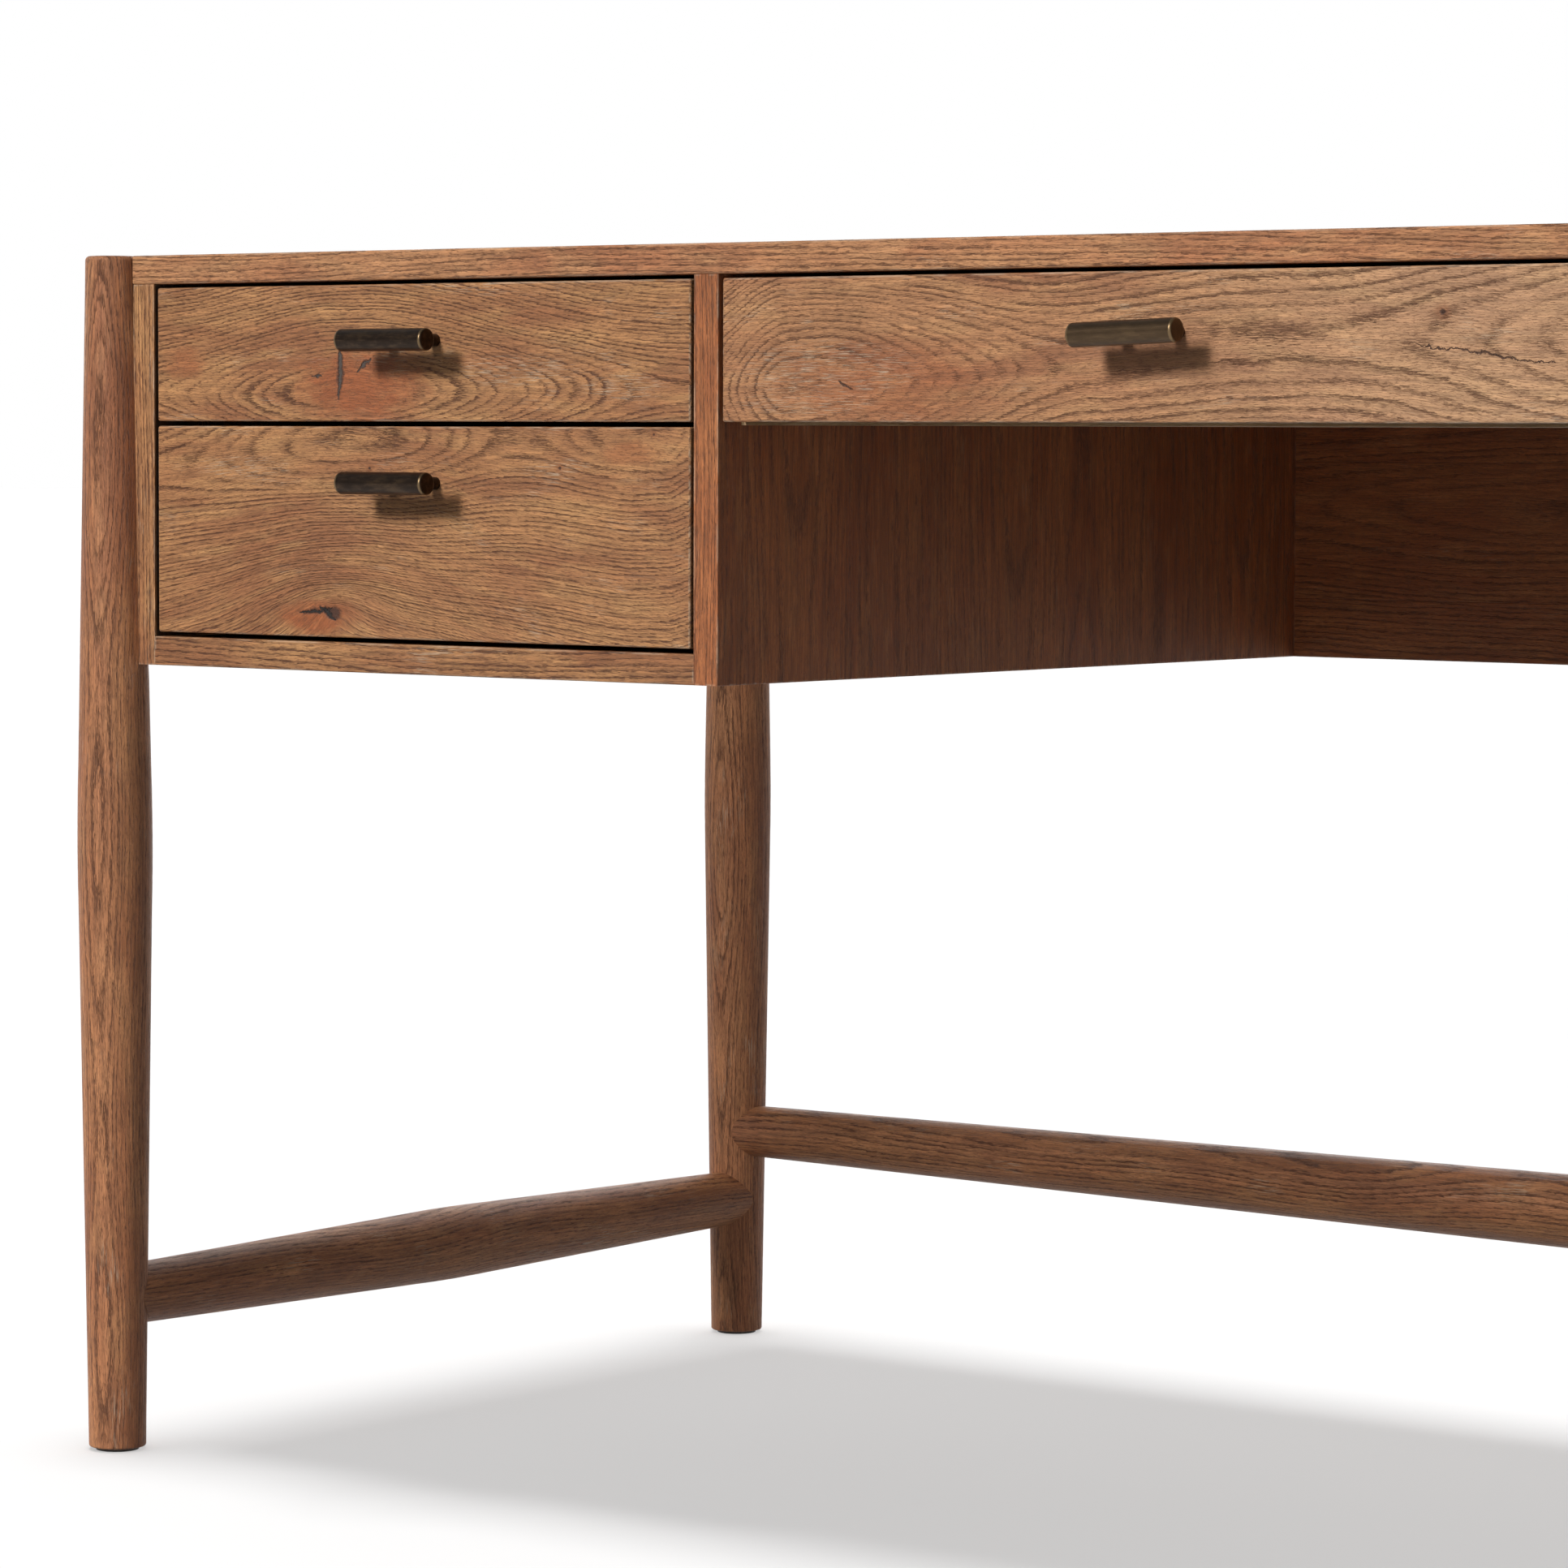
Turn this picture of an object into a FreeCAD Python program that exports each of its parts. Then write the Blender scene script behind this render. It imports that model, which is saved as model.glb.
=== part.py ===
import FreeCAD, Part
import math
import os
import re
import Sketcher

# A kneehole writing desk: two shallow pedestals hung between four turned corner legs,
# one drawer over the kneehole and two in each pedestal.
# Row frame: X across the desk, the front faces -Y, +Z up. The origin is on the floor at
# the middle of the desk's bounding box. Millimetres and degrees.

SIZES = {
    "total_height": 775,
    "board": 18.5,
    "kneehole_width": 625,
    "bay_width": 448,
    "case_depth": 642,
    "front_y": -316.4,
    "back_inset": 6,
    "arris": 1.5,
    "soft_edge": 0.8,
    # reveals round the inset drawer fronts, and the two heights of front
    "top_gap": 2.5,
    "reveal": 3,
    "shallow_front": 85,
    "deep_front": 132,
    # legs: a double taper, thickest at the waist, where its two slopes meet in a long soft bend
    "leg_top_dia": 35,
    "leg_waist_dia": 49,
    "leg_foot_dia": 37.2,
    "waist_height": 400,
    "waist_bend": 30,
    "leg_top_round": 3,
    "notch_gap": 0.6,
    # glides
    "glide_height": 2,
    "glide_dia": 28,
    "pin_dia": 4,
    "pin_length": 14,
    "pin_spare": 2,
    # stretchers: double tapers too, coped to the legs, with a round tenon at each end
    "side_stretcher_z": 100,
    "side_end_dia": 38.8,
    "side_mid_dia": 50.4,
    "back_stretcher_z": 150,
    "back_end_dia": 37,
    "back_mid_dia": 50.6,
    "middle_bend": 25,
    "cope_gap": 0.15,
    "cope_reach": 32,
    "tenon_dia": 18,
    "tenon_gap": 0.15,
    "tenon_tip": 4.5,
    "tenon_root": 40,
    "mortise_floor": 4,
    # bolts through the outer sides into the legs
    "bolt_dia": 6,
    "bolt_gap": 0.3,
    "bolt_offset": 8,
    "bolt_low": 40,
    "bolt_high": 100,
    "bolt_tip": 0.5,
    "bolt_head_dia": 10,
    "bolt_head": 3.3,
    # the panel that closes the kneehole below its drawer
    "dust_thick": 6,
    "dust_drop": 1.8,
    "dust_setback": 22,
    "dust_housing": 4,
    # glue blocks under the top, behind the drawers
    "block_leg": 30,
    "block_height": 60,
    # drawer boxes and the wooden runners that carry them
    "box_gap": 5,
    "box_side": 12,
    "box_lift": 8,
    "box_drop": 13,
    "pedestal_box_depth": 560,
    "centre_box_depth": 480,
    "groove_deep": 6,
    "bottom_lift": 10,
    "bottom_thick": 6,
    "bottom_play": 0.1,
    "back_drop": 4,
    "runner_thick": 10.5,
    "runner_height": 18,
    "runner_play": 0.5,
    "runner_setback": 24,
    # pulls: a round bar on two posts
    "bar_dia": 14,
    "bar_length": 72,
    "bar_round": 1.5,
    "post_dia": 8,
    "post_spacing": 36,
    "bar_reach": 27.5,
    "pull_drop": 35,
    "centre_pull_tilt": 2,
    "screw_dia": 4,
    "screw_gap": 0.1,
    "screw_hole_dia": 5.6,
    "screw_depth": 10,
    "tap_spare": 1,
    "screw_head_dia": 8,
    "screw_head": 2.6,
}

# Sizes that follow from the cells, as expressions.
KNEE_FACE = "(kneehole_width / 2)"
BAY_FACE = f"({KNEE_FACE} + board)"
OUTER_FACE = f"({BAY_FACE} + bay_width)"
LEG_X = f"({OUTER_FACE} + 2 * board)"
BAY_CENTRE = f"({BAY_FACE} + bay_width / 2)"
REAR_Y = "(front_y + case_depth)"
BACK_Y = f"({REAR_Y} - back_inset - board)"
INNER_DEPTH = f"({BACK_Y} - front_y)"
TOP_UNDER = "(total_height - board)"
UPPER_Z = f"({TOP_UNDER} - top_gap - shallow_front)"
LOWER_Z = f"({UPPER_Z} - reveal - deep_front)"
CASE_Z = f"({LOWER_Z} - reveal - board)"
CASE_HEIGHT = f"({TOP_UNDER} - {CASE_Z})"
DUST_Z = f"({UPPER_Z} - dust_drop)"

DRAWERS = {
    "left_upper": dict(x=f"(-{BAY_CENTRE})", z=UPPER_Z, opening="bay_width",
                       height="shallow_front", depth="pedestal_box_depth"),
    "left_lower": dict(x=f"(-{BAY_CENTRE})", z=LOWER_Z, opening="bay_width",
                       height="deep_front", depth="pedestal_box_depth"),
    "centre": dict(x="0", z=UPPER_Z, opening="kneehole_width",
                   height="shallow_front", depth="centre_box_depth"),
    "right_upper": dict(x=BAY_CENTRE, z=UPPER_Z, opening="bay_width",
                        height="shallow_front", depth="pedestal_box_depth"),
    "right_lower": dict(x=BAY_CENTRE, z=LOWER_Z, opening="bay_width",
                        height="deep_front", depth="pedestal_box_depth"),
}

# The legs by corner: the side of the desk, front or rear, and the turn about Z that
# points the leg's own +X at the kneehole.
LEGS = {
    "front_left": dict(side=-1, rear=False, turn=0),
    "front_right": dict(side=1, rear=False, turn=180),
    "rear_left": dict(side=-1, rear=True, turn=0),
    "rear_right": dict(side=1, rear=True, turn=180),
}

X_AXIS = FreeCAD.Vector(1, 0, 0)
Y_AXIS = FreeCAD.Vector(0, 1, 0)
Z_AXIS = FreeCAD.Vector(0, 0, 1)


# ---------------------------------------------------------------- document helpers

def make_sheet(doc):
    sheet = doc.addObject("Spreadsheet::Sheet", "sizes")
    for row, (name, value) in enumerate(SIZES.items(), start=1):
        sheet.set(f"A{row}", name)
        sheet.set(f"B{row}", str(value))
        sheet.setAlias(f"B{row}", name)
    doc.recompute()


def bound(text):
    """The expression, with each alias in it read from the sheet."""
    return re.sub(r"[a-z][a-z0-9_]*", lambda word: f"sizes.{word[0]}", text)


def value(owner, text):
    return float(owner.evalExpression(bound(text)))


def bind(target, **properties):
    """Binds properties such as Length or Base_x (for Placement.Base.x) to expressions."""
    for name, text in properties.items():
        if name.startswith("Base_"):
            name = f"Placement.Base.{name[-1]}"
        target.setExpression(name, bound(text))


def place(target, x="0", y="0", z="0", turn=0, axis=Z_AXIS):
    target.Placement = FreeCAD.Placement(FreeCAD.Vector(), FreeCAD.Rotation(axis, turn))
    bind(target, Base_x=x, Base_y=y, Base_z=z)


def tilt(target, axis, angle):
    """Turns a placed object about its own origin by an angle from the sheet."""
    target.Placement.Rotation = FreeCAD.Rotation(axis, value(target, angle))
    target.setExpression("Placement.Rotation.Angle", bound(angle))


def new_body(doc, label):
    body = doc.addObject("PartDesign::Body", label)
    body.Label = label
    return body


def new_sketch(body, name, plane, offset="0"):
    """A sketch on one of the body's own planes, moved along the plane's normal."""
    sketch = body.newObject("Sketcher::SketchObject", name)
    role = f"{plane}_Plane"
    origin_plane = [item for item in body.Origin.OriginFeatures if item.Role == role][0]
    sketch.AttachmentSupport = [(origin_plane, "")]
    sketch.MapMode = "FlatFace"
    sketch.setExpression("AttachmentOffset.Base.z", bound(offset))
    return sketch


def fix_point(sketch, geometry, point, x, y):
    """Ties a sketch point to the origin by two expressions."""
    for kind, axis, text in (("DistanceX", -2, x), ("DistanceY", -1, y)):
        if text == "0":
            sketch.addConstraint(Sketcher.Constraint("PointOnObject", geometry, point, axis))
        else:
            size = value(sketch, text)
            index = sketch.addConstraint(Sketcher.Constraint(kind, -1, 1, geometry, point, size))
            sketch.setExpression(f"Constraints[{index}]", bound(text))


def tangent_arc(before, here, there):
    """The arc from here to there that carries on the line from before, turning to the left."""
    chord = there - here
    turn = (here - before).getAngle(chord)
    outward = FreeCAD.Vector(chord.y, -chord.x, 0)
    return Part.Arc(here, (here + there) * 0.5 + outward * (math.tan(turn / 2) / 2), there)


def draw_outline(sketch, points, arc_from=None):
    """A closed outline through points given as pairs of expressions.

    It has straight sides, but for the one that starts at point number arc_from: that is an arc.
    """
    spots = [FreeCAD.Vector(value(sketch, x), value(sketch, y), 0) for x, y in points]
    for index, (here, there) in enumerate(zip(spots, spots[1:] + spots[:1])):
        if index == arc_from:
            sketch.addGeometry(tangent_arc(spots[index - 1], here, there), False)
        else:
            sketch.addGeometry(Part.LineSegment(here, there), False)
    for index in range(len(points)):
        following = (index + 1) % len(points)
        kind = "Tangent" if following == arc_from else "Coincident"
        sketch.addConstraint(Sketcher.Constraint(kind, index, 2, following, 1))
    for index, (x, y) in enumerate(points):
        fix_point(sketch, index, 1, x, y)


def draw_rectangle(sketch, low_x, low_y, high_x, high_y):
    draw_outline(sketch, [(low_x, low_y), (high_x, low_y), (high_x, high_y), (low_x, high_y)])


def draw_circles(sketch, centres, radius):
    for x, y in centres:
        centre = FreeCAD.Vector(value(sketch, x), value(sketch, y), 0)
        circle = Part.Circle(centre, Z_AXIS, value(sketch, radius))
        index = sketch.addGeometry(circle, False)
        fix_point(sketch, index, 3, x, y)
        size = sketch.addConstraint(Sketcher.Constraint("Radius", index, value(sketch, radius)))
        sketch.setExpression(f"Constraints[{size}]", bound(radius))


def pad(body, name, sketch, length, reverse=False):
    feature = body.newObject("PartDesign::Pad", name)
    feature.Profile = sketch
    feature.Reversed = reverse
    bind(feature, Length=length)
    return feature


def pocket(body, name, sketch, length, reverse=False):
    """Cuts against the sketch's normal, or along it when reversed, and must remove something."""
    body.Document.recompute()
    before = body.Shape.Volume
    feature = body.newObject("PartDesign::Pocket", name)
    feature.Profile = sketch
    feature.Reversed = reverse
    bind(feature, Length=length)
    body.Document.recompute()
    if body.Shape.Volume > before - 1e-3:
        raise RuntimeError(f"{body.Label}: {name} cut nothing")
    return feature


def turned(body, kind, name, sketch):
    """A full turn of the sketch about its own vertical axis, added or cut."""
    feature = body.newObject(f"PartDesign::{kind}", name)
    feature.Profile = sketch
    feature.ReferenceAxis = (sketch, ["V_Axis"])
    feature.Angle = 360
    return feature


def fillet(body, name, radius, chosen):
    """Rounds the edges of the body's tip for which chosen(edge) is true."""
    body.Document.recompute()
    tip = body.Tip
    names = [f"Edge{number}" for number, edge in enumerate(tip.Shape.Edges, start=1) if chosen(edge)]
    feature = body.newObject("PartDesign::Fillet", name)
    feature.Base = (tip, names)
    bind(feature, Radius=radius)
    return feature


def along(edge, direction):
    """Whether a straight edge runs along the direction."""
    if not isinstance(edge.Curve, Part.Line):
        return False
    return abs(edge.tangentAt(edge.FirstParameter).dot(direction)) > 0.999


def lies_at(edge, axis, level):
    """Whether the whole edge lies at one level along x, y or z."""
    low = getattr(edge.BoundBox, f"{axis}Min")
    high = getattr(edge.BoundBox, f"{axis}Max")
    return abs(low - level) < 1e-3 and abs(high - level) < 1e-3


def cylinder(doc, name, radius, length, turn=0, axis=Z_AXIS, x="0", y="0", z="0"):
    item = doc.addObject("Part::Cylinder", name)
    bind(item, Radius=radius, Height=length)
    place(item, x, y, z, turn, axis)
    return item


def group(doc, label, items):
    """Separate solids that share one node."""
    node = doc.addObject("Part::Compound", label)
    node.Label = label
    node.Links = items
    return node


def leg_radius(height):
    """The leg's radius at a height below its waist."""
    rise = f"(({height} - glide_height) / (waist_height - glide_height))"
    return f"(leg_foot_dia / 2 + (leg_waist_dia - leg_foot_dia) / 2 * {rise})"


# ---------------------------------------------------------------- legs and stretchers

def make_leg(doc, corner, side, rear, turn):
    body = new_body(doc, f"leg_{corner}")
    profile = new_sketch(body, "taper", "XZ")
    below = "(leg_waist_dia - leg_foot_dia) / 2 / (waist_height - glide_height)"
    above = "(leg_waist_dia - leg_top_dia) / 2 / (total_height - waist_height)"
    draw_outline(profile, [
        ("0", "glide_height"),
        ("leg_foot_dia / 2", "glide_height"),
        (f"leg_waist_dia / 2 - waist_bend * {below}", "waist_height - waist_bend"),
        (f"leg_waist_dia / 2 - waist_bend * {above}", "waist_height + waist_bend"),
        ("leg_top_dia / 2", "total_height"),
        ("0", "total_height"),
    ], arc_from=2)
    turned(body, "Revolution", "turning", profile)
    top, foot = SIZES["total_height"], SIZES["glide_height"]
    fillet(body, "top_round", "leg_top_round", lambda edge: lies_at(edge, "Z", top))
    fillet(body, "foot_round", "arris", lambda edge: lies_at(edge, "Z", foot))
    # In the leg's own frame +X is inboard; the case lies on the +Y or the -Y side.
    facing = 1 if (turn == 0) != rear else -1
    cut_case_rabbet(body, facing)
    cut_mortise(body, "side_mortise", "XZ", "side_stretcher_z", facing)
    if rear:
        cut_mortise(body, "back_mortise", "YZ", "back_stretcher_z", 1)
    cut_bolt_holes(body, facing)
    pin = new_sketch(body, "glide_pin", "XY", "glide_height")
    draw_circles(pin, [("0", "0")], "pin_dia / 2 + screw_gap")
    pocket(body, "glide_pin_hole", pin, "pin_length + pin_spare", reverse=True)
    place(body, f"{side} * {LEG_X}", REAR_Y if rear else "front_y", "0", turn)
    return body


def cut_case_rabbet(body, facing):
    """The step in which the outer side stands: its outer face is one board off the axis."""
    step = new_sketch(body, "rabbet", "XY", CASE_Z)
    draw_rectangle(step, "board", "0", "leg_waist_dia", f"{facing} * leg_waist_dia")
    pocket(body, "case_rabbet", step, CASE_HEIGHT, reverse=True)


def cut_mortise(body, name, plane, height, facing):
    """A round mortise from near the axis out to the leg's surface."""
    # The XZ plane's normal is -Y and the YZ plane's is +X.
    along_normal = facing > 0 if plane == "YZ" else facing < 0
    start = "mortise_floor" if along_normal else "(-mortise_floor)"
    hole = new_sketch(body, f"{name}_circle", plane, start)
    draw_circles(hole, [("0", height)], "tenon_dia / 2 + tenon_gap")
    pocket(body, name, hole, "leg_waist_dia", reverse=along_normal)


def cut_bolt_holes(body, facing):
    spots = [(f"{facing} * bolt_offset", f"{CASE_Z} + {rise}") for rise in ("bolt_low", "bolt_high")]
    holes = new_sketch(body, "bolt_circles", "YZ")
    draw_circles(holes, spots, "(bolt_dia + bolt_gap) / 2")
    pocket(body, "bolt_holes", holes, "leg_waist_dia", reverse=True)


def make_stretcher(doc, label, half, height, end_dia, mid_dia):
    """A turned rail along its own Y, reaching half its length each way to the leg axes."""
    body = new_body(doc, label)
    profile = new_sketch(body, "taper", "XY")
    bend_radius = f"({mid_dia} / 2 - middle_bend * ({mid_dia} - {end_dia}) / 2 / {half})"
    draw_outline(profile, [
        ("0", f"-{half}"),
        (f"{end_dia} / 2", f"-{half}"),
        (bend_radius, "-middle_bend"),
        (bend_radius, "middle_bend"),
        (f"{end_dia} / 2", half),
        ("0", half),
    ], arc_from=2)
    turned(body, "Revolution", "turning", profile)
    for end, sign in (("near", 1), ("far", -1)):
        cope = new_sketch(body, f"{end}_cope", "XZ", f"{sign} * {half}")
        low, high = leg_radius(f"({height} - cope_reach)"), leg_radius(f"({height} + cope_reach)")
        draw_outline(cope, [
            ("0", "-cope_reach"),
            (f"{low} + cope_gap", "-cope_reach"),
            (f"{high} + cope_gap", "cope_reach"),
            ("0", "cope_reach"),
        ])
        turned(body, "Groove", f"{end}_coping", cope)
        tenon = new_sketch(body, f"{end}_tenon_circle", "XZ", f"{sign} * ({half} - tenon_tip)")
        draw_circles(tenon, [("0", "0")], "tenon_dia / 2")
        pad(body, f"{end}_tenon", tenon, "tenon_root", reverse=sign > 0)
    return body


def make_stretchers(doc):
    nodes = []
    for name, side in (("left", -1), ("right", 1)):
        rail = make_stretcher(doc, f"stretcher_{name}", "(case_depth / 2)", "side_stretcher_z",
                              "side_end_dia", "side_mid_dia")
        place(rail, f"{side} * {LEG_X}", "front_y + case_depth / 2", "side_stretcher_z")
        nodes.append(rail)
    rail = make_stretcher(doc, "stretcher_back", LEG_X, "back_stretcher_z",
                          "back_end_dia", "back_mid_dia")
    place(rail, "0", REAR_Y, "back_stretcher_z", 90)
    nodes.append(rail)
    return nodes


def make_glides(doc):
    """Four plastic glides, each nailed into a foot by its pin."""
    glides = []
    for corner, leg in LEGS.items():
        disc = cylinder(doc, f"glide_disc_{corner}", "glide_dia / 2", "glide_height")
        pin = cylinder(doc, f"glide_pin_{corner}", "pin_dia / 2", "glide_height + pin_length")
        glide = doc.addObject("Part::Fuse", f"glide_{corner}")
        glide.Base = disc
        glide.Tool = pin
        place(glide, f"{leg['side']} * {LEG_X}", REAR_Y if leg["rear"] else "front_y")
        glides.append(glide)
    return group(doc, "floor_glides", glides)


def make_bolts(doc):
    """Two bolts to a leg, from inside the pedestal through the outer side."""
    bolts = []
    for corner, leg in LEGS.items():
        side = leg["side"]
        into = -1 if leg["rear"] else 1
        for rise in ("bolt_low", "bolt_high"):
            name = f"{corner}_{rise}"
            head_seat = "(2 * board - bolt_head)"
            shank = cylinder(doc, f"shank_{name}", "bolt_dia / 2", f"{head_seat} - bolt_tip")
            head = cylinder(doc, f"head_{name}", "bolt_head_dia / 2", "bolt_head",
                            z=f"{head_seat} - bolt_tip")
            bolt = doc.addObject("Part::Fuse", f"bolt_{name}")
            bolt.Base = shank
            bolt.Tool = head
            y = REAR_Y if leg["rear"] else "front_y"
            place(bolt, f"{side} * ({LEG_X} - bolt_tip)", f"{y} + {into} * bolt_offset",
                  f"{CASE_Z} + {rise}", -90 * side, Y_AXIS)
            bolts.append(bolt)
    return group(doc, "leg_bolts", bolts)


# ---------------------------------------------------------------- case

def make_tabletop(doc):
    """The slab reaches the leg axes, with a round notch for each leg at its corners."""
    body = new_body(doc, "tabletop")
    outline = new_sketch(body, "outline", "XY")
    draw_rectangle(outline, f"-{LEG_X}", "front_y", LEG_X, REAR_Y)
    pad(body, "slab", outline, "board")
    notches = new_sketch(body, "notches", "XY")
    corners = [(x, y) for x in (f"-{LEG_X}", LEG_X) for y in ("front_y", REAR_Y)]
    draw_circles(notches, corners, "leg_top_dia / 2 + notch_gap")
    pocket(body, "leg_notches", notches, "board", reverse=True)
    fillet(body, "edges", "arris", lambda edge: along(edge, X_AXIS) or along(edge, Y_AXIS))
    place(body, z=TOP_UNDER)
    return body


def make_outer_side(doc, name, side):
    """Its own frame starts at the front bottom corner of the face that the legs stand against."""
    body = new_body(doc, f"outer_side_{name}")
    outline = new_sketch(body, "outline", "XY")
    draw_rectangle(outline, "0", "0", f"{-side} * board", "case_depth")
    pad(body, "panel", outline, CASE_HEIGHT)
    spots = []
    for y in ("bolt_offset", "(case_depth - bolt_offset)"):
        for rise in ("bolt_low", "bolt_high"):
            spots.append((y, rise))
    shanks = new_sketch(body, "shank_circles", "YZ")
    draw_circles(shanks, spots, "(bolt_dia + bolt_gap) / 2")
    pocket(body, "shank_holes", shanks, "board", reverse=side < 0)
    heads = new_sketch(body, "head_circles", "YZ", f"{-side} * (board - bolt_head)")
    draw_circles(heads, spots, "(bolt_head_dia + bolt_gap) / 2")
    pocket(body, "head_sinks", heads, "board", reverse=side < 0)
    fillet(body, "edges", "soft_edge",
           lambda edge: along(edge, Y_AXIS) and lies_at(edge, "Z", 0))
    place(body, f"{side} * ({OUTER_FACE} + board)", "front_y", CASE_Z)
    return body


def make_inner_side(doc, name, side):
    """Its own frame starts at the front bottom corner of its kneehole face."""
    body = new_body(doc, f"inner_side_{name}")
    outline = new_sketch(body, "outline", "XY")
    draw_rectangle(outline, "0", "0", f"{side} * board", INNER_DEPTH)
    pad(body, "panel", outline, CASE_HEIGHT)
    housing = f"({DUST_Z} - {CASE_Z})"
    slot = new_sketch(body, "housing_slot", "YZ")
    draw_rectangle(slot, "dust_setback - bottom_play", f"{housing} - bottom_play",
                   INNER_DEPTH, f"{housing} + dust_thick + bottom_play")
    pocket(body, "dust_housing", slot, "dust_housing", reverse=side > 0)
    fillet(body, "edges", "soft_edge",
           lambda edge: along(edge, Y_AXIS) and lies_at(edge, "Z", 0))
    place(body, f"{side} * {KNEE_FACE}", "front_y", CASE_Z)
    return body


def make_panel(doc, label, low, high, rounded=None):
    """A plain board between two corners, low at its own origin."""
    body = new_body(doc, label)
    outline = new_sketch(body, "outline", "XY")
    width, depth, height = (f"({b} - {a})" for a, b in zip(low, high))
    draw_rectangle(outline, "0", "0", width, depth)
    pad(body, "panel", outline, height)
    if rounded:
        fillet(body, "edges", "soft_edge", rounded)
    place(body, *low)
    return body


def make_case(doc):
    nodes = [make_tabletop(doc)]
    bays = (("left", -1, f"(-{OUTER_FACE})", f"(-{BAY_FACE})"), ("right", 1, BAY_FACE, OUTER_FACE))
    for name, side, low_x, high_x in bays:
        nodes.append(make_outer_side(doc, name, side))
        nodes.append(make_inner_side(doc, name, side))
        nodes.append(make_panel(
            doc, f"pedestal_bottom_{name}", (low_x, "front_y", CASE_Z),
            (high_x, BACK_Y, f"({CASE_Z} + board)"),
            lambda edge: along(edge, X_AXIS) and lies_at(edge, "Y", 0)))
    nodes.append(make_panel(
        doc, "back_panel", (f"(-{OUTER_FACE})", BACK_Y, CASE_Z),
        (OUTER_FACE, f"({BACK_Y} + board)", TOP_UNDER),
        lambda edge: along(edge, X_AXIS) and lies_at(edge, "Z", 0)))
    reach = f"({KNEE_FACE} + dust_housing - bottom_play)"
    nodes.append(make_panel(
        doc, "dust_panel", (f"(-{reach})", "(front_y + dust_setback)", DUST_Z),
        (reach, BACK_Y, f"({DUST_Z} + dust_thick)")))
    nodes.append(make_corner_blocks(doc))
    return nodes


def make_corner_blocks(doc):
    """Triangular glue blocks in the rear corners of the three bays, under the top."""
    faces = {
        "left_outer": (f"(-{OUTER_FACE})", 1), "left_inner": (f"(-{BAY_FACE})", -1),
        "knee_left": (f"(-{KNEE_FACE})", 1), "knee_right": (KNEE_FACE, -1),
        "right_inner": (BAY_FACE, 1), "right_outer": (OUTER_FACE, -1),
    }
    blocks = []
    for name, (x, side) in faces.items():
        body = doc.addObject("PartDesign::Body", f"block_{name}")
        corner = new_sketch(body, "triangle", "XY")
        draw_outline(corner, [("0", "0"), (f"{side} * block_leg", "0"), ("0", "-block_leg")])
        pad(body, "block", corner, "block_height")
        place(body, x, BACK_Y, f"{TOP_UNDER} - block_height")
        blocks.append(body)
    return group(doc, "corner_blocks", blocks)


# ---------------------------------------------------------------- drawers

def make_drawer(doc, name, x, z, opening, height, depth):
    """A drawer's pieces. Their own frame: the front's outer face at y 0, its lower edge at z 0."""
    half_box = f"({opening} / 2 - box_gap)"
    half_inside = f"({half_box} - box_side)"
    box_top = f"({height} - box_drop)"
    groove = "(box_lift + bottom_lift)"
    groove_top = f"({groove} + bottom_thick + 2 * bottom_play)"
    rear = f"(board + {depth})"
    tongue = "(groove_deep - 2 * bottom_play)"
    label = f"drawer_{name}"
    pieces = [
        make_front(doc, f"{label}_front", opening, height, half_inside, groove, groove_top),
        make_box_side(doc, f"{label}_side_left", -1, half_box, box_top, groove, groove_top, depth),
        make_box_side(doc, f"{label}_side_right", 1, half_box, box_top, groove, groove_top, depth),
        make_block(doc, f"{label}_back", (f"(-{half_inside})", f"({rear} - box_side)", groove_top),
                   (half_inside, rear, f"({box_top} - back_drop)")),
        make_block(doc, f"{label}_bottom",
                   (f"(-{half_inside} - {tongue})", f"(board - {tongue})",
                    f"({groove} + bottom_play)"),
                   (f"({half_inside} + {tongue})", rear,
                    f"({groove} + bottom_play + bottom_thick)")),
        make_runners(doc, f"runners_{name}", opening, box_top, depth),
    ]
    for piece in pieces:
        place(piece, x, "front_y", z)
    metal = [make_pull(doc, f"{label}_pull"), make_pull_screws(doc, f"{label}_screws")]
    for piece in metal:
        place(piece, x, "front_y", f"{z} + {height} - pull_drop")
        if name == "centre":
            tilt(piece, -Y_AXIS, "centre_pull_tilt")
    return pieces + metal


def make_block(doc, label, low, high):
    """A plain rectangular piece between two corners of its drawer's frame."""
    body = new_body(doc, label)
    outline = new_sketch(body, "outline", "XY", low[2])
    draw_rectangle(outline, low[0], low[1], high[0], high[1])
    pad(body, "board_pad", outline, f"{high[2]} - {low[2]}")
    return body


def make_front(doc, label, opening, height, half_inside, groove, groove_top):
    body = new_body(doc, label)
    half = f"({opening} / 2 - reveal)"
    face = new_sketch(body, "face", "XZ")
    draw_rectangle(face, f"-{half}", "0", half, height)
    pad(body, "front_pad", face, "board", reverse=True)
    fillet(body, "front_edges", "arris",
           lambda edge: lies_at(edge, "Y", 0) or along(edge, Y_AXIS))
    slot = new_sketch(body, "bottom_slot", "XZ", "-board")
    draw_rectangle(slot, f"-{half_inside} - groove_deep", groove,
                   f"{half_inside} + groove_deep", groove_top)
    pocket(body, "bottom_groove", slot, "groove_deep", reverse=True)
    holes = new_sketch(body, "screw_circles", "XZ")
    spots = [(f"{side} * post_spacing / 2", f"{height} - pull_drop") for side in (-1, 1)]
    draw_circles(holes, spots, "screw_hole_dia / 2")
    pocket(body, "screw_holes", holes, "board")
    return body


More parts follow.
